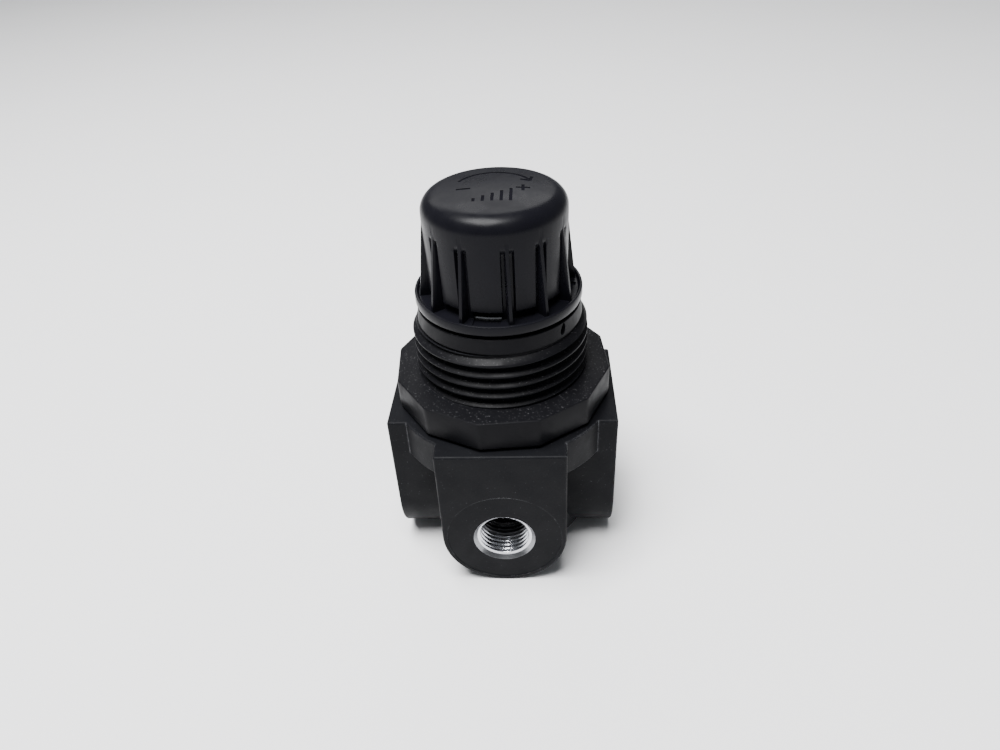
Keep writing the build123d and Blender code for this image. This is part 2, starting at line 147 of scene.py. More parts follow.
def turned(rows, angles, closed=False):
    """A skin turned about Z. A row is a (radius, height) pair, or a function of the angle that gives one.

    With closed, the last row joins the first, which makes a ring; otherwise the first and last rows
    lie on the axis and close the skin.
    """
    bm = bmesh.new()
    rings = []
    for row in rows:
        pairs = [row(angle) if callable(row) else row for angle in angles]
        if max(radius for radius, _ in pairs) == 0:
            rings.append([bm.verts.new((0, 0, pairs[0][1]))])
        else:
            rings.append([bm.verts.new(polar(a, r, z)) for a, (r, z) in zip(angles, pairs)])
    joined = list(zip(rings, rings[1:]))
    if closed:
        joined.append((rings[-1], rings[0]))
    count = len(angles)
    for near, far in joined:
        for k in range(count):
            after = (k + 1) % count
            corners = [near[i % len(near)] for i in (k, after)] + [far[i % len(far)] for i in (after, k)]
            bm.faces.new(list(dict.fromkeys(corners)))
    bmesh.ops.recalc_face_normals(bm, faces=bm.faces)
    return bm


def swept(path, section, outward):
    """A solid swept along points. outward(k) is the direction of the section's first axis at point k."""
    bm = bmesh.new()
    rings = []
    for k, point in enumerate(path):
        ahead = path[min(k + 1, len(path) - 1)] - path[max(k - 1, 0)]
        first = outward(k)
        second = ahead.cross(first).normalized()
        rings.append([bm.verts.new(point + first * u + second * v) for u, v in section])
    count = len(section)
    for near, far in zip(rings, rings[1:]):
        for k in range(count):
            after = (k + 1) % count
            bm.faces.new((near[k], near[after], far[after], far[k]))
    bm.faces.new(rings[0][::-1])
    bm.faces.new(rings[-1])
    bmesh.ops.recalc_face_normals(bm, faces=bm.faces)
    return bm


def round_section(radius, sides=16):
    """A circle for a wire."""
    return [
        (radius * math.cos(2 * math.pi * k / sides), radius * math.sin(2 * math.pi * k / sides))
        for k in range(sides)
    ]


def helix(radius, start_z, start_deg, end_deg, pitch, step_deg=5.0):
    """Points of a right-handed helix and their angles."""
    count = max(int(round((end_deg - start_deg) / step_deg)), 1)
    angles = [start_deg + (end_deg - start_deg) * k / count for k in range(count + 1)]
    points = [polar(a, radius, start_z + pitch * (a - start_deg) / 360) for a in angles]
    return points, angles


def swept_helix(radius, start_z, start_deg, end_deg, pitch, section, step_deg=5.0):
    """A solid swept along a helix, with the section's first axis pointing away from the main axis."""
    points, angles = helix(radius, start_z, start_deg, end_deg, pitch, step_deg)
    return swept(points, section, lambda k: polar(angles[k], 1.0))


def box_mesh(low, high):
    """A box between two corners, only used as a cutting tool."""
    bm = bmesh.new()
    bmesh.ops.create_cube(bm, size=1.0)
    size = Vector(high) - Vector(low)
    middle = (Vector(high) + Vector(low)) / 2
    for vert in bm.verts:
        vert.co = Vector(c * s for c, s in zip(vert.co, size)) + middle
    return bm


def moved(bm, matrix):
    """The mesh, placed by a matrix."""
    bm.transform(matrix)
    return bm


def combined(meshes):
    """Several meshes in one."""
    whole = bmesh.new()
    for bm in meshes:
        part = bpy.data.meshes.new("part")
        bm.to_mesh(part)
        bm.free()
        whole.from_mesh(part)
        bpy.data.meshes.remove(part)
    return whole


def loose_object(bm, name):
    """An object for one mesh, linked to the scene."""
    mesh = bpy.data.meshes.new(name)
    bm.to_mesh(mesh)
    bm.free()
    obj = bpy.data.objects.new(name, mesh)
    bpy.context.scene.collection.objects.link(obj)
    return obj


def boolean(base, tool, operation):
    """The base mesh after a boolean with the tool mesh."""
    base_object = loose_object(base, "boolean_base")
    tool_object = loose_object(tool, "boolean_tool")
    modifier = base_object.modifiers.new("boolean", "BOOLEAN")
    modifier.operation = operation
    modifier.object = tool_object
    modifier.solver = "EXACT"
    shaped = base_object.evaluated_get(bpy.context.evaluated_depsgraph_get())
    bm = bmesh.new()
    bm.from_mesh(shaped.to_mesh())
    shaped.to_mesh_clear()
    for obj in (base_object, tool_object):
        mesh = obj.data
        bpy.data.objects.remove(obj)
        bpy.data.meshes.remove(mesh)
    return bm


def piece(name, bm, body, material, stands_for=(), sharp_deg=32.0):
    """Turns a mesh in millimetres into a finished piece that rides on a body, unless the body is None."""
    bmesh.ops.remove_doubles(bm, verts=bm.verts, dist=1e-5)
    bmesh.ops.dissolve_degenerate(bm, edges=bm.edges, dist=1e-5)
    bmesh.ops.recalc_face_normals(bm, faces=bm.faces)
    bm.transform(Matrix.Scale(MM, 4))
    obj = loose_object(bm, name)
    obj.data.shade_smooth()
    obj.data.set_sharp_from_angle(angle=math.radians(sharp_deg))
    obj.data.materials.append(material)
    if body is not None:
        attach(obj, body)
    if stands_for:
        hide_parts(*stands_for)
    return obj


# ---------------------------------------------------------------- material tools
class Surface:
    """A procedural material while it is being built. Positions are the object's own, in metres."""

    def __init__(self, name, colour, roughness, metallic=0.0):
        self.material = bpy.data.materials.new(name)
        self.material.use_nodes = True
        self.tree = self.material.node_tree
        self.shader = self.tree.nodes["Principled BSDF"]
        self.position = self.tree.nodes.new("ShaderNodeTexCoord").outputs["Object"]
        self.set("Base Color", (*colour, 1.0))
        self.set("Roughness", roughness)
        self.set("Metallic", metallic)
        self.height = None

    def link(self, source, target):
        """Feeds an input from another node's output, or from a plain value."""
        if isinstance(source, bpy.types.NodeSocket):
            self.tree.links.new(source, target)
        else:
            target.default_value = source

    def set(self, name, source):
        """Sets or links one input of the shader."""
        self.link(source, self.shader.inputs[name])

    def get(self, name):
        """What an input of the shader holds now: its link, or else its value."""
        socket = self.shader.inputs[name]
        if socket.is_linked:
            return socket.links[0].from_socket
        value = socket.default_value
        return value if isinstance(value, float) else tuple(value)

    def math(self, operation, *inputs):
        """One step of arithmetic."""
        node = self.tree.nodes.new("ShaderNodeMath")
        node.operation = operation
        for source, target in zip(inputs, node.inputs):
            self.link(source, target)
        return node.outputs[0]

    def stretch(self, value, low, high, to_low=0.0, to_high=1.0):
        """Maps low..high of a value smoothly to another range."""
        node = self.tree.nodes.new("ShaderNodeMapRange")
        node.interpolation_type = "SMOOTHSTEP"
        for source, name in ((value, "Value"), (low, "From Min"), (high, "From Max")):
            self.link(source, node.inputs[name])
        node.inputs["To Min"].default_value = to_low
        node.inputs["To Max"].default_value = to_high
        return node.outputs["Result"]

    def mix(self, factor, first, second):
        """Mixes two colours."""
        node = self.tree.nodes.new("ShaderNodeMix")
        node.data_type = "RGBA"
        self.link(factor, node.inputs[0])
        for source, target in ((first, node.inputs[6]), (second, node.inputs[7])):
            self.link((*source, 1.0) if isinstance(source, tuple) and len(source) == 3 else source, target)
        return node.outputs[2]

    def blend_value(self, factor, first, second):
        """Mixes two plain values."""
        node = self.tree.nodes.new("ShaderNodeMix")
        for source, target in ((factor, node.inputs[0]), (first, node.inputs[2]), (second, node.inputs[3])):
            self.link(source, target)
        return node.outputs[0]

    def tint(self, mask, colour):
        """Covers the base colour with another where the mask is 1."""
        self.set("Base Color", self.mix(mask, self.get("Base Color"), colour))

    def axes(self, vector):
        """The three parts of a vector."""
        node = self.tree.nodes.new("ShaderNodeSeparateXYZ")
        self.link(vector, node.inputs[0])
        return node.outputs

    def length(self, first, second):
        """Distance from an axis, from the two parts square to it."""
        squares = [self.math("POWER", part, 2.0) for part in (first, second)]
        return self.math("SQRT", self.math("ADD", *squares))

    def scaled(self, factors):
        """The position, stretched along the axes, for grain that runs one way."""
        node = self.tree.nodes.new("ShaderNodeMapping")
        self.link(self.position, node.inputs["Vector"])
        node.inputs["Scale"].default_value = factors
        return node.outputs["Vector"]

    def noise(self, size_mm, detail=3.0, roughness=0.55, at=None):
        """Soft noise whose blobs are about size_mm across."""
        node = self.tree.nodes.new("ShaderNodeTexNoise")
        self.link(at or self.position, node.inputs["Vector"])
        node.inputs["Scale"].default_value = 1 / (size_mm * MM)
        node.inputs["Detail"].default_value = detail
        node.inputs["Roughness"].default_value = roughness
        return node.outputs[0]

    def add_height(self, value, depth_mm):
        """Adds relief of a given depth to the surface."""
        relief = self.math("MULTIPLY", value, depth_mm * MM)
        self.height = relief if self.height is None else self.math("ADD", self.height, relief)

    def edge(self, radius_mm, low, high):
        """1 on edges and corners, 0 on flat parts."""
        rounded = self.tree.nodes.new("ShaderNodeBevel")
        rounded.samples = 6
        rounded.inputs["Radius"].default_value = radius_mm * MM
        flat = self.tree.nodes.new("ShaderNodeNewGeometry")
        product = self.tree.nodes.new("ShaderNodeVectorMath")
        product.operation = "DOT_PRODUCT"
        self.link(rounded.outputs["Normal"], product.inputs[0])
        self.link(flat.outputs["Normal"], product.inputs[1])
        return self.stretch(self.math("SUBTRACT", 1.0, product.outputs["Value"]), low, high)

    def finish(self):
        """Joins the relief to the shader and gives the material."""
        if self.height is not None:
            bump = self.tree.nodes.new("ShaderNodeBump")
            bump.inputs["Distance"].default_value = 1.0
            self.link(self.height, bump.inputs["Height"])
            self.set("Normal", bump.outputs["Normal"])
        return self.material


def mottle(surface, size_mm, dark, light):
    """Varies the base colour a little, in soft patches."""
    colour = tuple(surface.get("Base Color"))[:3]
    low = tuple(c * dark for c in colour)
    high = tuple(c * light for c in colour)
    surface.set("Base Color", surface.mix(surface.noise(size_mm), low, high))


def smudges(surface, size_mm, low, high):
    """Varies the roughness between two values, in soft patches."""
    patches = surface.stretch(surface.noise(size_mm, 4.0), 0.35, 0.65)
    surface.set("Roughness", surface.blend_value(patches, low, high))


# ---------------------------------------------------------------- materials
def bare_metal_in_ports(surface):
    """1 inside the port mouths and on their chamfers, where the cutter took the paint off."""
    x, y, z = surface.axes(surface.position)
    above_axis = surface.math("SUBTRACT", z, port_axis_z * MM)
    masks = []
    for across, along, mouth in ((x, y, gauge_mouth_radius), (y, x, main_mouth_radius)):
        inside = surface.math("LESS_THAN", surface.length(across, above_axis), mouth * MM)
        outer = surface.math("GREATER_THAN", surface.math("ABSOLUTE", along), bare_from * MM)
        masks.append(surface.math("MULTIPLY", inside, outer))
    return surface.math("MAXIMUM", *masks)


def painted_casting():
    """Black powder paint on a zinc die casting, worn to bare metal on the sharpest edges."""
    pale_speck = (0.035, 0.036, 0.04)
    thin_paint = (0.11, 0.112, 0.12)
    dull_zinc, bright_zinc = (0.16, 0.163, 0.17), (0.36, 0.365, 0.38)
    handled_from, handled_above = 19.0, 24.0
    surface = Surface("painted_casting", (0.0045, 0.0047, 0.0058), 0.5)
    surface.set("Specular IOR Level", 0.062)
    mottle(surface, 6.0, 0.85, 1.2)
    smudges(surface, 5.0, 0.44, 0.56)
    surface.tint(surface.stretch(surface.noise(0.35, 2.0), 0.68, 0.76), pale_speck)
    surface.add_height(surface.noise(0.4, 3.0), 0.022)
    surface.add_height(surface.noise(3.0, 2.0), 0.03)

    height = surface.axes(surface.position)["Z"]
    handled = surface.stretch(height, handled_from * MM, handled_above * MM, 0.12, 1.0)
    rubbed = surface.math("MULTIPLY", surface.edge(0.45, 0.015, 0.12), handled)
    patches = surface.stretch(surface.noise(3.2, 5.0, 0.7), 0.42, 0.6)
    thinned = surface.math("MULTIPLY", rubbed, surface.math("ADD", 0.3, patches))
    surface.tint(thinned, thin_paint)
    chips = surface.math("MULTIPLY", rubbed, surface.stretch(surface.noise(1.3, 6.0, 0.75), 0.57, 0.62))
    bare = surface.math("MAXIMUM", chips, bare_metal_in_ports(surface))
    surface.tint(bare, surface.mix(surface.noise(0.25, 3.0), dull_zinc, bright_zinc))
    surface.set("Metallic", bare)
    surface.set("Roughness", surface.blend_value(bare, surface.get("Roughness"), 0.3))
    return surface.finish()


def moulded_plastic(name, colour, edge_highlight_colour, roughness, grain_size, grain_depth, gloss):
    """Black moulded plastic: faint grain, handled patches, and a painted highlight that makes the edges
    slightly lighter.
    """
    rough_low, rough_high = roughness
    surface = Surface(name, colour, rough_low)
    mottle(surface, 4.0, 0.85, 1.15)
    smudges(surface, 3.5, rough_low, rough_high)
    surface.set("Specular IOR Level", gloss)
    surface.add_height(surface.noise(grain_size, 3.0), grain_depth)
    surface.add_height(surface.noise(4.0, 2.0), 0.02)
    patches = surface.stretch(surface.noise(2.0, 4.0), 0.3, 0.7)
    # Painted highlight: the edges are tinted slightly lighter, in patches.
    surface.tint(surface.math("MULTIPLY", surface.edge(0.18, 0.02, 0.2), patches), edge_highlight_colour)
    return surface


def bonnet_plastic():
    """Matte glass-filled plastic, with fine pale dust on it."""
    surface = moulded_plastic(
        "bonnet_plastic",
        colour=(0.0042, 0.0042, 0.0052),
        edge_highlight_colour=(0.02, 0.021, 0.024),
        roughness=(0.38, 0.5),
        grain_size=0.25,
        grain_depth=0.004,
        gloss=0.062,
    )
    specks = surface.stretch(surface.noise(0.28, 2.0), 0.62, 0.74)
    normal = surface.tree.nodes.new("ShaderNodeNewGeometry").outputs["Normal"]
    on_top = surface.stretch(surface.axes(normal)["Z"], 0.5, 0.95)
    surface.tint(surface.math("MULTIPLY", specks, on_top), (0.055, 0.055, 0.058))
    return surface.finish()


def knob_plastic():
    """Smoother, semi-gloss plastic, dulled by handling and duller still in the cap's cut marks."""
    surface = moulded_plastic(
        "knob_plastic",
        colour=(0.0042, 0.0042, 0.006),
        edge_highlight_colour=(0.01, 0.01, 0.013),
        roughness=(0.27, 0.36),
        grain_size=0.2,
        grain_depth=0.0012,
        gloss=0.08,
    )
    x, y, z = surface.axes(surface.position)
    radius = surface.length(x, y)
    share = surface.math("MULTIPLY", radius, 1 / (cap_shoulder_radius * MM))
    drop = surface.math("MULTIPLY", surface.math("POWER", share, 2.0), cap_crown * MM)
    cap_height = surface.math("SUBTRACT", knob_high.z * MM, drop)
    cut = surface.stretch(surface.math("SUBTRACT", cap_height, z), 0.04 * MM, 0.07 * MM)
    on_cap = surface.math("LESS_THAN", radius, cap_shoulder_radius * MM)
    engraved = surface.math("MULTIPLY", cut, on_cap)
    for name, value in (("Roughness", 0.8), ("Specular IOR Level", 0.02)):
        surface.set(name, surface.blend_value(engraved, surface.get(name), value))
    return surface.finish()


def port_metal():
    """Freshly cut zinc in a port's thread, which falls into black further in as painted shade deep in the
    port.
    """
    unshaded_depth, painted_shade_depth = 3.2, 6.2
    surface = Surface("port_metal", (0.62, 0.63, 0.66), 0.2, 1.0)
    mottle(surface, 1.6, 0.8, 1.1)
    x, y, _ = surface.axes(surface.position)
    outward = surface.math("MAXIMUM", surface.math("ABSOLUTE", x), surface.math("ABSOLUTE", y))
    # Painted shade: deeper in the port the metal gives way to plain, non-metallic black.
    light = surface.stretch(outward, (port_face - painted_shade_depth) * MM, (port_face - unshaded_depth) * MM)
    surface.set("Base Color", surface.mix(light, (0.012, 0.012, 0.013), surface.get("Base Color")))
    surface.set("Metallic", light)
    surface.add_height(surface.noise(0.8, 3.0), 0.003)
    return surface.finish()


def turned_metal(name, colour, roughness, grain=(1.0, 1.0, 12.0)):
    """Machined metal with fine tool marks and a little uneven tarnish."""
    surface = Surface(name, colour, roughness, 1.0)
    mottle(surface, 2.5, 0.8, 1.08)
    marks = surface.noise(1.2, 4.0, at=surface.scaled(grain))
    surface.add_height(marks, 0.004)
    low, high = roughness * 0.8, roughness * 1.35
    surface.set("Roughness", surface.blend_value(surface.noise(1.5, 4.0), low, high))
    return surface.finish()


def rubber():
    """Dull black rubber with a faint bloom."""
    surface = Surface("rubber", (0.022, 0.022, 0.023), 0.7)
    mottle(surface, 2.0, 0.8, 1.3)
    smudges(surface, 1.6, 0.6, 0.8)
    surface.add_height(surface.noise(0.3, 4.0), 0.01)
    return surface.finish()


def natural_acetal():
    """Off-white bearing plastic, a little translucent."""
    surface = Surface("natural_acetal", (0.78, 0.76, 0.7), 0.38)
    mottle(surface, 3.0, 0.93, 1.04)
    surface.set("Subsurface Weight", 0.2)
    surface.set("Subsurface Radius", (0.002, 0.0018, 0.0014))
    surface.set("Subsurface Scale", 0.3)
    surface.add_height(surface.noise(0.6, 3.0), 0.004)
    return surface.finish()


# ---------------------------------------------------------------- push-to-lock teeth
def lock_row(radius, base, half_width_deg):
    """A row that rises by the lock's depth round the middle of each tooth."""

    def row(angle):
        from_middle = abs((angle + lock_pitch_deg / 2) % lock_pitch_deg - lock_pitch_deg / 2)
        rise = smoothstep(half_width_deg + lock_flank_deg, half_width_deg - lock_flank_deg, from_middle)
        return radius, base + lock_depth * rise

    return row


# ---------------------------------------------------------------- knob
def knob_rows(top, bottom):
    """The rows of the knob's skin, from the middle of its cap down the outside and up the inside."""
    ring_radius = knob_high.x  # the ring at the bottom, outside the ribs
    lip = bottom + 1.65  # top of the ring
    floor = bottom + 1.05  # foot of the groove between ring and grip
    core = 10.95
    cap_radius = 11.65
    cap_side_high = top - 3.2
    cap_side_low = top - 4.7
    pad_low = bottom + 2.65
    pad_draft, rib_draft = -0.013, 0.113  # growth of the radius per millimetre down

    def from_rib_deg(angle):
        """Angle from the middle of the nearest rib."""
        half = grip_repeat_deg / 2
        offset = (angle - first_window_deg + half) % grip_repeat_deg - half
        return min(abs(offset - rib) for rib in rib_offsets_deg)

    def side(z):
        """A row of the gripped side: flat pads, and proud ribs with a groove on each side."""
        drop = cap_side_low - z
        pad_radius = cap_radius + pad_draft * drop
        rib_radius = cap_radius + rib_draft * drop
        core_radius = cap_radius + (core - cap_radius) * smoothstep(0.3, 1.9, drop)
        has_pad = smoothstep(pad_low - 0.2, pad_low + 0.1, z)
        ramp = 0.5

        def row(angle):
            from_rib = from_rib_deg(angle)
            on_rib = smoothstep(rib_half_deg + ramp, rib_half_deg - ramp, from_rib)
            on_pad = has_pad * smoothstep(pad_start_deg - ramp, pad_start_deg + ramp, from_rib)
            rib_height = (rib_radius - core_radius) * on_rib
            pad_height = (pad_radius - core_radius) * on_pad
            return core_radius + rib_height + pad_height, z

        return row

    shoulder = cap_shoulder_radius
    edge_radius = cap_radius - shoulder
    rows = [(0, top)]
    rows += [(r, top - cap_crown * (r / shoulder) ** 2) for r in (1.5, 3.0, 5.0, 7.0)]
    edge_height = top - cap_crown - cap_side_high
    for k in range(11):
        turn = math.radians(9 * k)
        rows.append((shoulder + edge_radius * math.sin(turn), cap_side_high + edge_height * math.cos(turn)))
    rows += [side(cap_side_low - dz) for dz in (-0.5, 0.0, 0.3, 0.6, 0.9, 1.2, 1.5, 1.9)]
    steps = 14
    start, end = cap_side_low - 2.4, pad_low + 0.5
    rows += [side(start + (end - start) * k / steps) for k in range(steps + 1)]
    rows += [side(pad_low + dz) for dz in (0.1, 0.04, -0.05, -0.14, -0.2, -0.7, -1.2)]
    rows += [side(floor + 0.12)]

    def floor_row(angle):
        radius, _ = side(floor)(angle)
        return radius + 0.1, floor

    rows.append(floor_row)
    rows += [(13.22, floor), (13.34, floor + 0.08), (13.48, lip - 0.12), (13.6, lip), (13.76, lip)]
    rows += [(ring_radius - 0.07, lip - 0.07), (ring_radius, lip - 0.24), (ring_radius, bottom + 0.2)]
    rows += [(ring_radius - 0.06, bottom + 0.06), (ring_radius - 0.2, bottom)]

    pocket_inner, pocket_outer = 11.8, 13.0
    rows += [(pocket_outer + 0.06, bottom)]
    rows += [lock_row(radius, bottom, lock_pocket_half_deg) for radius in (pocket_outer, pocket_inner)]
    rows += [(pocket_inner - 0.06, bottom)]

    bore = 10.4
    wire_z = bottom + 1.0  # the retaining ring's groove
    rows += [(bore, bottom), (bore, wire_z - 0.4), (bore + 0.17, wire_z - 0.28), (bore + 0.25, wire_z)]
    rows += [(bore + 0.17, wire_z + 0.28), (bore, wire_z + 0.4), (bore, bottom + 5.0)]
    ceiling = top - 3.1
    hub = 6.6
    hub_end = bottom + 0.25
    rows += [(bore - 1.2, ceiling), (hub + 0.4, ceiling), (hub, ceiling - 0.4), (hub, hub_end + 0.2)]
    rows += [(hub - 0.2, hub_end)]

    socket_apothem = 3.56
    socket_end = top - 7.0

    def socket(z):
        return lambda angle: (socket_apothem / math.cos(math.radians(angle % 60.0 - 30.0)), z)

    rows += [socket(hub_end), socket(socket_end), (0, socket_end)]
    return rows


def knob_angles():
    """Angles that fall closer together on the flanks of ribs, pads and lock pockets."""
    near_rib = (0.0, 0.7, 1.1, 1.3, 1.65, 2.0, 2.2, 2.8, 3.6, 4.3, 4.5, 4.85, 5.2, 5.4)
    across_pads = [*range(-38, -25, 3), *range(-9, 10, 3), *range(26, 39, 3)]
    offsets = set(across_pads)
    for rib in rib_offsets_deg:
        offsets |= {rib + side * a for a in near_rib for side in (-1, 1)}
    starts = even_angles(quarters, first_window_deg)
    wanted = sorted({(start + a) % 360.0 for start in starts for a in offsets})

    half, flank = lock_pocket_half_deg, lock_flank_deg
    flanks = (-half - flank, -half + flank, half - flank, half + flank)
    walls = [(middle + a) % 360.0 for middle in even_angles(lock_tooth_count) for a in flanks]

    def clear_of_walls(angle):
        return min(abs((angle - wall + 180.0) % 360.0 - 180.0) for wall in walls) > 0.12

    kept = sorted(walls + [angle for angle in wanted if clear_of_walls(angle)])
    return [a for a, before in zip(kept, kept[-1:] + kept[:-1]) if abs(a - before) > 0.01]


def cap_marks(top):
    """Tools for shallow marks in the cap: a curved arrow with plus and minus, and a stepped scale.

    They come in groups, so that no two tools in a group overlap.
    """
    width, depth, clear = 0.5, 0.1, 0.5
    section = [(-depth, -width / 2), (-depth, width / 2), (clear, width / 2), (clear, -width / 2)]

    def on_cap(x, y):
        return Vector((x, y, top - cap_crown * (math.hypot(x, y) / cap_shoulder_radius) ** 2))

    def stroke(points):
        return swept([on_cap(x, y) for x, y in points], section, lambda k: Vector((0, 0, 1)))

    def on_circle(radius, angle):
        place = polar(angle, radius)
        return place.x, place.y

    arc_radius, reach = 6.1, 1.1
    tip = on_circle(arc_radius, 22.0)
    arrow_inner = stroke([on_circle(arc_radius - reach, 35.0), tip])
    arrow_outer = stroke([on_circle(arc_radius + reach, 35.0), tip])
    sign_x, sign_y = 4.6, -0.6
    first = [stroke([on_circle(arc_radius, a) for a in range(155, 26, -4)])]
    for x in (-sign_x, sign_x):
        first.append(stroke([(x - reach, sign_y), (x + reach, sign_y)]))
    plus_upright = stroke([(sign_x, sign_y - reach), (sign_x, sign_y + reach)])
    scale_foot, bar_gap, bar_growth = -5.2, 1.4, 0.8
    for bar in range(5):
        x = bar_gap * (bar - 2)
        first.append(stroke([(x, scale_foot), (x, scale_foot + 1.0 + bar_growth * bar)]))
    return first, [arrow_inner, plus_upright], [arrow_outer]


def make_knob(material):
    """The push-to-lock knob, with four windows to the retaining ring and marks cut in its cap."""
    bottom, top = knob_low.z, knob_high.z
    bm = turned(knob_rows(top, bottom), knob_angles())
    inner_x, outer_x, half_width = 9.4, 12.8, 2.2
    windows = []
    for angle in even_angles(quarters, first_window_deg):
        window = box_mesh((inner_x, -half_width, bottom + 0.75), (outer_x, half_width, bottom + 2.55))
        windows.append(moved(window, Matrix.Rotation(math.radians(angle), 4, "Z")))
    bm = boolean(bm, combined(windows), "DIFFERENCE")
    for tools in cap_marks(top):
        bm = boolean(bm, combined(tools), "DIFFERENCE")
    return piece("knob_shell", bm, "knob_assembly", material, ["knob"], 28.0)


# ---------------------------------------------------------------- bonnet
def neck_with_thread():
    """The threaded sleeve of the bonnet, before it joins the rest."""
    root = neck_radius - thread_depth
    inner = 13.2
    base = flange_top - 2.5
    outline = [(inner, base), (neck_radius, base), (neck_radius, neck_top - 1.2)]
    outline += [(neck_radius - 0.8, neck_top), (inner, neck_top)]
    sleeve = turned(outline, even_angles(360), closed=True)
    flank = [(0.0, 0.16), (1.12, 0.8), (1.26, 0.92), (1.9, 0.99)]
    valley = [(0.0, -0.16), *flank] + [(out, -across) for out, across in flank[:0:-1]]
    front = -90.0
    overrun = 1.2
    valley_z = crest_z_at_front - thread_pitch / 2
    start = front - 360.0 * (valley_z - flange_top + overrun) / thread_pitch
    end = front + 360.0 * (neck_top + overrun - valley_z) / thread_pitch
    start_z = valley_z + thread_pitch * (start - front) / 360.0
    cutter = swept_helix(root, start_z, start, end, thread_pitch, valley, 4.0)
    return boolean(sleeve, cutter, "DIFFERENCE")


def bonnet_rows():
    """Closed outline of the bonnet without its threaded sleeve."""
    side_deg = 30.0  # of the twelve-sided flange
    corner_limit = flange_apothem / math.cos(math.radians(side_deg / 2)) - 0.05

    def flange(inset, z):
        def row(angle):
            from_flat = (angle - flange_corner_deg) % side_deg - side_deg / 2
            return min(flange_apothem / math.cos(math.radians(from_flat)), corner_limit) - inset, z

        return row

    chamber, keyway, keyway_half_width = 11.6, 12.7, 1.5
    keyway_half_deg = math.degrees(math.asin(keyway_half_width / keyway))

    def keyed(z):
        def row(angle):
            from_key = angle % 90.0 - 45.0
            if abs(from_key) < keyway_half_deg:
                return min(keyway / math.cos(math.radians(from_key)), keyway + 0.1), z
            return chamber, z

        return row

    low = bonnet_low.z
    high = bonnet_high.z
    skirt = 16.4  # enters the body's rim
    inner = 13.5
    collar = 14.0  # between neck and knob
    teeth_inner, teeth_outer = 11.9, 12.9
    hub, hub_lip, hub_bore = 9.7, 10.2, 8.4
    hub_floor, chamber_roof = high - 6.6, high - 8.6
    screw_hole = 4.06
    rows = [(inner, low), (skirt - 0.15, low), (skirt, low + 0.15), (skirt, flange_bottom)]
    rows += [flange(inset, flange_bottom + up) for inset, up in ((0.3, 0.0), (0.05, 0.08), (0.0, 0.3))]
    for inset, down in ((0.0, 0.35), (0.06, 0.14), (0.2, 0.02), (0.35, 0.0)):
        rows.append(flange(inset, flange_top - down))
    rows.append((neck_radius + 0.6, flange_top))
    rows += [(inner, flange_top + 0.05), (inner, neck_top - 0.3)]
    rows += [(collar - 0.3, neck_top - 0.2), (collar - 0.3, neck_top + 0.3)]
    rows += [(collar - 0.1, neck_top + 0.34), (collar, neck_top + 0.46)]
    rows += [(collar - 0.24, collar_top - 0.14), (collar - 0.38, collar_top)]
    rows += [(teeth_outer + 0.04, collar_top)]
    rows += [lock_row(radius, collar_top, lock_tooth_half_deg) for radius in (teeth_outer, teeth_inner)]
    rows += [(teeth_inner - 0.04, collar_top), (hub + 0.1, collar_top), (hub, collar_top + 0.1)]
    rows += [(hub, high - 1.05), (hub_lip, high - 1.05), (hub_lip, high - 0.6), (hub_lip - 0.3, high)]
    rows += [(hub_bore + 0.1, high), (hub_bore, high - 0.1), (hub_bore, hub_floor)]
    rows += [(screw_hole + 0.14, hub_floor), (screw_hole, hub_floor - 0.14), (screw_hole, chamber_roof)]
    rows += [(chamber, chamber_roof), keyed(chamber_roof - 0.1), keyed(31.4)]
    rows += [(inner - 0.6, 30.0), (inner, 29.4)]
    return rows


def make_bonnet(material):
    """The bonnet: twelve-sided flange, threaded panel neck, collar with lock teeth, and the hub."""
    main = turned(bonnet_rows(), even_angles(360), closed=True)
    vent_width, vent_height, vent_z, vent_deg = 1.1, 2.0, 48.0, -40.5
    sides = 20
    outline = []  # a leaning oval, narrower at its top
    for k in range(sides):
        turn = 2 * math.pi * k / sides
        narrowing = 1.0 - 0.25 * math.sin(turn)
        lean = 0.12 * vent_height * math.sin(turn)
        across = vent_width / 2 * math.cos(turn) * narrowing + lean
        outline.append((across, vent_height / 2 * math.sin(turn)))
    path = [Vector((8.0, 0, vent_z)), Vector((16.0, 0, vent_z))]  # from inside the collar to outside it
    vent = swept(path, outline, lambda k: Vector((0, 1, 0)))
    tools = [moved(vent, Matrix.Rotation(math.radians(vent_deg), 4, "Z"))]
    bleed_radius, bleed_circle, bleed_low, bleed_high = 0.6, 8.3, 44.5, 48.0
    bleed_rows = [(0, bleed_low), (bleed_radius, bleed_low), (bleed_radius, bleed_high), (0, bleed_high)]
    for angle in even_angles(4):
        bleed = turned(bleed_rows, even_angles(20))
        tools.append(moved(bleed, Matrix.Translation(polar(angle, bleed_circle))))
    main = boolean(main, combined(tools), "DIFFERENCE")
    bm = boolean(main, neck_with_thread(), "UNION")
    return piece("bonnet_moulding", bm, "housing", material, ["bonnet"], 30.0)


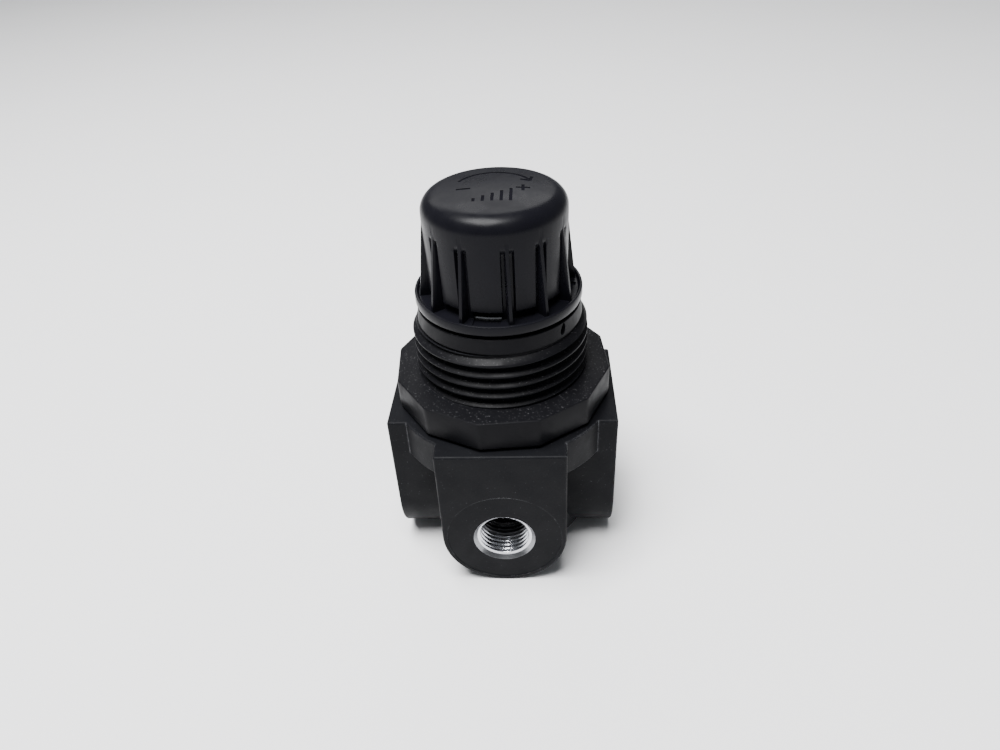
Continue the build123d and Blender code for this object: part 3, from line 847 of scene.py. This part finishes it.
# ---------------------------------------------------------------- threaded port linings
def make_port_thread(name, direction_deg, bore_radius, chamfer, pitch, threaded, material):
    """The tapped wall of a port: a thin lining whose inner face is a right-handed thread that runs out."""
    depth = pitch * 0.6
    outer = bore_radius - 0.005  # just inside the body's own bore
    root = bore_radius - 0.04
    inner_end = port_depth - 1.4
    steps_per_turn = 12
    sides = 144

    def threaded_row(height):
        cut = smoothstep(-threaded - pitch, -threaded, height)

        def row(angle):
            phase = (height / pitch + angle / 360.0) % 1.0
            from_root = abs(phase - 0.5) * 2
            crest = smoothstep(0.08, 0.92, from_root)
            return root - depth * (crest * cut + 1.0 - cut), height

        return row

    steps = int(steps_per_turn * (threaded + pitch) / pitch)
    rows = [(outer, 0.0)] + [threaded_row(-(threaded + pitch) * k / steps) for k in range(steps + 1)]
    rows += [(root - depth, -inner_end), (outer, -inner_end)]
    bm = turned(rows, even_angles(sides), closed=True)
    heading = Matrix.Rotation(math.radians(direction_deg), 4, "Z")
    lying = Matrix.Rotation(math.radians(90), 4, "Y")
    seat = Matrix.Translation((0, 0, port_face - spotface_depth - chamfer))
    place = Matrix.Translation((0, 0, port_axis_z)) @ heading @ lying @ seat
    return piece(name, moved(bm, place), "housing", material, (), 50.0)


# ---------------------------------------------------------------- springs and diaphragm
def coil_points(mean_radius, wire, low, high, active):
    """Points of a compression spring whose last turns lie closed against both seats."""
    bottom, top = low + wire / 2, high - wire / 2
    dead = 0.9  # turns that lie closed at each end
    closed_rise = 0.765 * wire * dead
    step_deg = 8.0
    turns = active + 2 * dead
    count = int(turns * 360 / step_deg)
    points, angles = [], []
    for k in range(count + 1):
        turn = turns * k / count
        if turn < dead:
            z = bottom + closed_rise * (turn / dead) ** 2
        elif turn > turns - dead:
            z = top - closed_rise * ((turns - turn) / dead) ** 2
        else:
            share = (turn - dead) / active
            z = bottom + closed_rise + (top - bottom - 2 * closed_rise) * share
        angles.append(turn * 360.0)
        points.append(polar(angles[-1], mean_radius, z))
    return points, angles


def make_spring(name, node, mean_radius, wire, active, material):
    """A coil spring in a CAD node's place."""
    node_low, node_high = extent(node)
    low, high = node_low.z, node_high.z
    points, angles = coil_points(mean_radius, wire, low, high, active)
    bm = swept(points, round_section(wire / 2), lambda k: polar(angles[k], 1.0))
    obj = piece(name, bm, "housing", material, [node], 60.0)
    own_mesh(obj)


def make_diaphragm(material):
    """The moulded rubber diaphragm: a clamped rim, one rolled convolution and a middle that moves."""
    low, high = diaphragm_low.z, diaphragm_high.z
    thickness = 0.6
    roll_inner, roll_outer, roll_depth = 10.2, 12.9, 0.85
    rim_inner, rim_outer = 13.3, diaphragm_high.x
    free_inside, fixed_outside = 9.6, 13.0  # radii between which the rubber stretches

    def roll(radius):
        share = min(max((radius - roll_inner) / (roll_outer - roll_inner), 0.0), 1.0)
        return roll_depth * 0.5 * (1 - math.cos(2 * math.pi * share))

    hole = 2.9
    radii = [hole, 5.0, 7.5, 9.5] + [roll_inner + (roll_outer - roll_inner) * k / 14 for k in range(15)]
    top_rows = [(r, high - roll(r)) for r in radii]
    rim = [(rim_inner, high), (rim_outer - 0.15, high), (rim_outer, high - 0.15)]
    rim += [(rim_outer, low + 0.15), (rim_outer - 0.15, low), (rim_inner + 0.05, low)]
    rim += [(rim_inner - 0.1, low + 0.15), (rim_inner - 0.15, high - thickness)]
    under = [(r, high - thickness - roll(r)) for r in reversed(radii)]
    bm = turned(top_rows + rim + under, even_angles(180), closed=True)
    obj = piece("diaphragm_rubber", bm, None, material, ["diaphragm"], 40.0)
    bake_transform(obj, "housing", "diaphragm_stack", (0.013, 0, 0), (0.009, 0, 0))
    weights = obj.data.attributes["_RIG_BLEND"]
    for vert, weight in zip(obj.data.vertices, weights.data):
        weight.value = smoothstep(fixed_outside, free_inside, math.hypot(vert.co.x, vert.co.y) / MM)


# ---------------------------------------------------------------- build everything
paint = painted_casting()
plastic = bonnet_plastic()
grip = knob_plastic()
zinc = port_metal()
steel = turned_metal("turned_steel", (0.56, 0.57, 0.59), 0.28)
wire_steel = turned_metal("spring_wire", (0.5, 0.51, 0.53), 0.24, (1.0, 1.0, 1.0))
brass = turned_metal("turned_brass", (0.72, 0.53, 0.25), 0.27)
aluminium = turned_metal("turned_aluminium", (0.74, 0.75, 0.76), 0.33)
elastomer = rubber()
acetal = natural_acetal()

cad_finish = {
    "body": paint,
    "knob_retaining_ring": wire_steel,
    "adjusting_screw": steel,
    "thrust_washer": acetal,
    "adjusting_nut": brass,
    "diaphragm_plate": aluminium,
    "diaphragm_washer": steel,
    "relief_seat": brass,
    "slip_ring": acetal,
    "valve_seat": brass,
    "valve_disc": elastomer,
    "valve_poppet": brass,
    "valve_stem": steel,
    "guide_o_ring": elastomer,
    "bottom_plug": plastic,
    "bottom_plug_o_ring": elastomer,
    "gauge_port_plug": steel,
}
for node, finish in cad_finish.items():
    mesh = frame["nodes"][node].data
    mesh.materials.clear()
    mesh.materials.append(finish)

make_knob(grip)
make_bonnet(plastic)
make_port_thread("front_port_thread", -90.0, gauge_radius, 0.6, 0.907, 6.4, zinc)
make_port_thread("inlet_port_thread", 180.0, main_radius, 0.8, 1.337, 6.6, zinc)
make_port_thread("outlet_port_thread", 0.0, main_radius, 0.8, 1.337, 6.6, zinc)
make_spring("range_spring_coil", "range_spring", 8.3, 1.4, 3.4, wire_steel)
make_spring("valve_spring_coil", "valve_spring", 4.3, 0.6, 3.6, wire_steel)
make_diaphragm(elastomer)


# ---------------------------------------------------------------- floor, light and camera
def make_floor():
    """Pale paper, level under the regulator."""
    bm = bmesh.new()
    half = 2.5  # metres
    corners = ((-half, -half), (half, -half), (half, half), (-half, half))
    bm.faces.new([bm.verts.new((x, y, 0)) for x, y in corners])
    floor = loose_object(bm, "floor")
    surface = Surface("floor_paper", (0.86, 0.86, 0.87), 0.8)
    mottle(surface, 40.0, 0.985, 1.01)
    floor.data.materials.append(surface.finish())


def area_light(name, place, aim, size, watts):
    """A soft rectangular light at a place, turned to a point. Both are in metres."""
    light = bpy.data.lights.new(name, "AREA")
    light.shape = "RECTANGLE"
    light.size, light.size_y = size
    light.energy = watts
    obj = bpy.data.objects.new(name, light)
    obj.location = place
    direction = Vector(aim) - Vector(place)
    obj.rotation_euler = direction.to_track_quat("-Z", "Y").to_euler()
    bpy.context.scene.collection.objects.link(obj)


def make_world(strength):
    """Even pale daylight from all round."""
    world = bpy.data.worlds.new("studio")
    world.use_nodes = True
    background = world.node_tree.nodes["Background"]
    background.inputs["Color"].default_value = (0.93, 0.96, 1.0, 1.0)
    background.inputs["Strength"].default_value = strength
    bpy.context.scene.world = world


def make_camera():
    """Close, slightly left of the front port, 36 degrees above the horizon and a little tilted."""
    heading, elevation, tilt = 4.01, 36.17, -3.22
    distance = 134.97 * MM
    aim = Vector((-0.57, -0.04, 32.5)) * MM
    camera = bpy.data.objects.new("camera", bpy.data.cameras.new("camera"))
    camera.data.sensor_width = 36.0
    camera.data.lens = 26.68
    camera.data.clip_start = 0.005
    turn = Matrix.Rotation(math.radians(heading), 4, "Z")
    lower = Matrix.Rotation(math.radians(90 - elevation), 4, "X")
    roll = Matrix.Rotation(math.radians(tilt), 4, "Z")
    back = Matrix.Translation((0, 0, distance))
    camera.matrix_world = Matrix.Translation(aim) @ turn @ lower @ roll @ back
    bpy.context.scene.collection.objects.link(camera)
    bpy.context.scene.camera = camera


make_floor()
make_world(0.2)
area_light("overhead", (-0.12, -0.1, 0.7), (0, 0, 0.03), (0.4, 0.35), 16.5)
area_light("far_wall", (-0.15, 0.8, 0.62), (0, 0, 0.05), (0.9, 0.35), 2.7)
make_camera()
